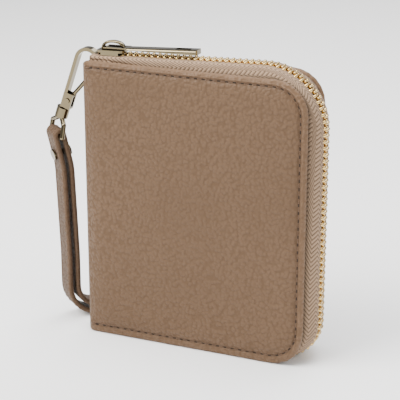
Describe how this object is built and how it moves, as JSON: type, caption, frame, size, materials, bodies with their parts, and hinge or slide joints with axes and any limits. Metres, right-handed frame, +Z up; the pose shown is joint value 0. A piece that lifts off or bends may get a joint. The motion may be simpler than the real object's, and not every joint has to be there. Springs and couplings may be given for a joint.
{
  "type": "zip around wallet",
  "caption": "Zip around leather wallet with a padded front and back cover, a metal zip, inner pockets, and a wrist strap on a swivel snap hook.",
  "frame": {"origin": "middle of the closed wallet's footprint, on the surface that it stands on", "axes": "+Z up; the spine is at -X, the zip side at +X, the front cover faces -Y"},
  "size_m": [0.1163, 0.071, 0.1171],
  "materials": {
    "pebbled_leather": "pebbled",
    "strap_leather": "pebbled",
    "pocket_leather": "smooth",
    "foam": "matte",
    "card_board": "matte",
    "lining_fabric": "woven",
    "zip_tape": "woven",
    "zip_metal": "polished",
    "gold_metal": "polished",
    "spring_steel": "satin"
  },
  "bodies": {
    "back_cover": {"back_spine_leather": "pebbled_leather", "back_padding": "foam", "back_board": "card_board", "back_lining": "lining_fabric", "back_zip_tape": "zip_tape", "back_zip_teeth": "zip_metal", "back_zip_stop": "zip_metal", "slip_pocket": "pocket_leather", "spine_lining": "lining_fabric", "spine_eyelet": "gold_metal"},
    "front_cover": {"front_leather": "pebbled_leather", "front_padding": "foam", "front_board": "card_board", "front_lining": "lining_fabric", "front_zip_tape": "zip_tape", "front_zip_teeth": "zip_metal", "front_zip_stop": "zip_metal", "card_slot_1": "pocket_leather", "card_slot_2": "pocket_leather", "card_slot_3": "pocket_leather", "card_slot_4": "pocket_leather"},
    "coin_pocket": {"coin_front_panel": "pocket_leather", "coin_back_panel": "pocket_leather", "coin_gusset": "lining_fabric", "coin_zip_tape": "zip_tape", "coin_zip_teeth": "zip_metal"},
    "coin_zip_slider": {"coin_slider": "gold_metal"},
    "coin_zip_pull": {"coin_pull": "gold_metal"},
    "main_slider": {"slider_body": "gold_metal", "slider_bridge": "gold_metal"},
    "main_pull": {"zip_pull": "gold_metal"},
    "snap_hook": {"hook_arch": "gold_metal", "hook_body": "gold_metal", "hook_rivet": "gold_metal", "gate_spring": "spring_steel"},
    "gate": {"hook_gate": "gold_metal"},
    "swivel": {"swivel_collar": "gold_metal", "swivel_eye": "gold_metal", "wrist_strap": "strap_leather", "strap_rivet": "gold_metal"}
  },
  "joints": [
    {"name": "cover_open", "type": "hinge", "parent": "back_cover", "child": "front_cover", "pos_m": [-0.0452, -0.0085, 0], "axis": [0, 0, -1], "range_deg": [0, 110]},
    {"name": "page_turn", "type": "hinge", "parent": "back_cover", "child": "coin_pocket", "pos_m": [-0.041, 0, 0], "axis": [0, 0, -1], "range_deg": [0, 55]},
    {"name": "coin_slider_travel", "type": "slide", "parent": "coin_pocket", "child": "coin_zip_slider", "axis": [-1, 0, 0], "range_m": [0, 0.05], "deforming": ["coin_zip_teeth"]},
    {"name": "coin_pull_lift", "type": "hinge", "parent": "coin_zip_slider", "child": "coin_zip_pull", "pos_m": [0.0186, 0, 0.09925], "axis": [0, -1, 0], "range_deg": [0, 90]},
    {"name": "slider_travel", "type": "slide", "parent": "back_cover", "child": "main_slider", "axis": [0.9997, 0, 0.0232], "range_m": [0, 0.054], "deforming": ["back_zip_teeth", "front_zip_teeth"]},
    {"name": "pull_lift", "type": "hinge", "parent": "main_slider", "child": "main_pull", "pos_m": [-0.03837, 0, 0.11517], "axis": [0, -1, 0], "range_deg": [0, 100]},
    {"name": "hook_swing", "type": "hinge", "parent": "back_cover", "child": "snap_hook", "pos_m": [-0.0452, 0.001, 0.1042], "axis": [0, 1, 0], "range_deg": [0, 6]},
    {"name": "gate_open", "type": "hinge", "parent": "snap_hook", "child": "gate", "pos_m": [-0.0558, 0.001, 0.09236], "axis": [0, -1, 0], "range_deg": [0, 3], "stiffness_Nm_per_rad": 0.02, "springref_deg": -11.46},
    {"name": "swivel_turn", "type": "hinge", "parent": "snap_hook", "child": "swivel", "pos_m": [-0.0586, 0.001, 0.08761], "axis": [0.3256, 0, 0.9455], "range_deg": [0, 90]}
  ],
  "couplings": [
    {"joint": "page_turn", "follows": "cover_open", "ratio": 0.5}
  ]
}
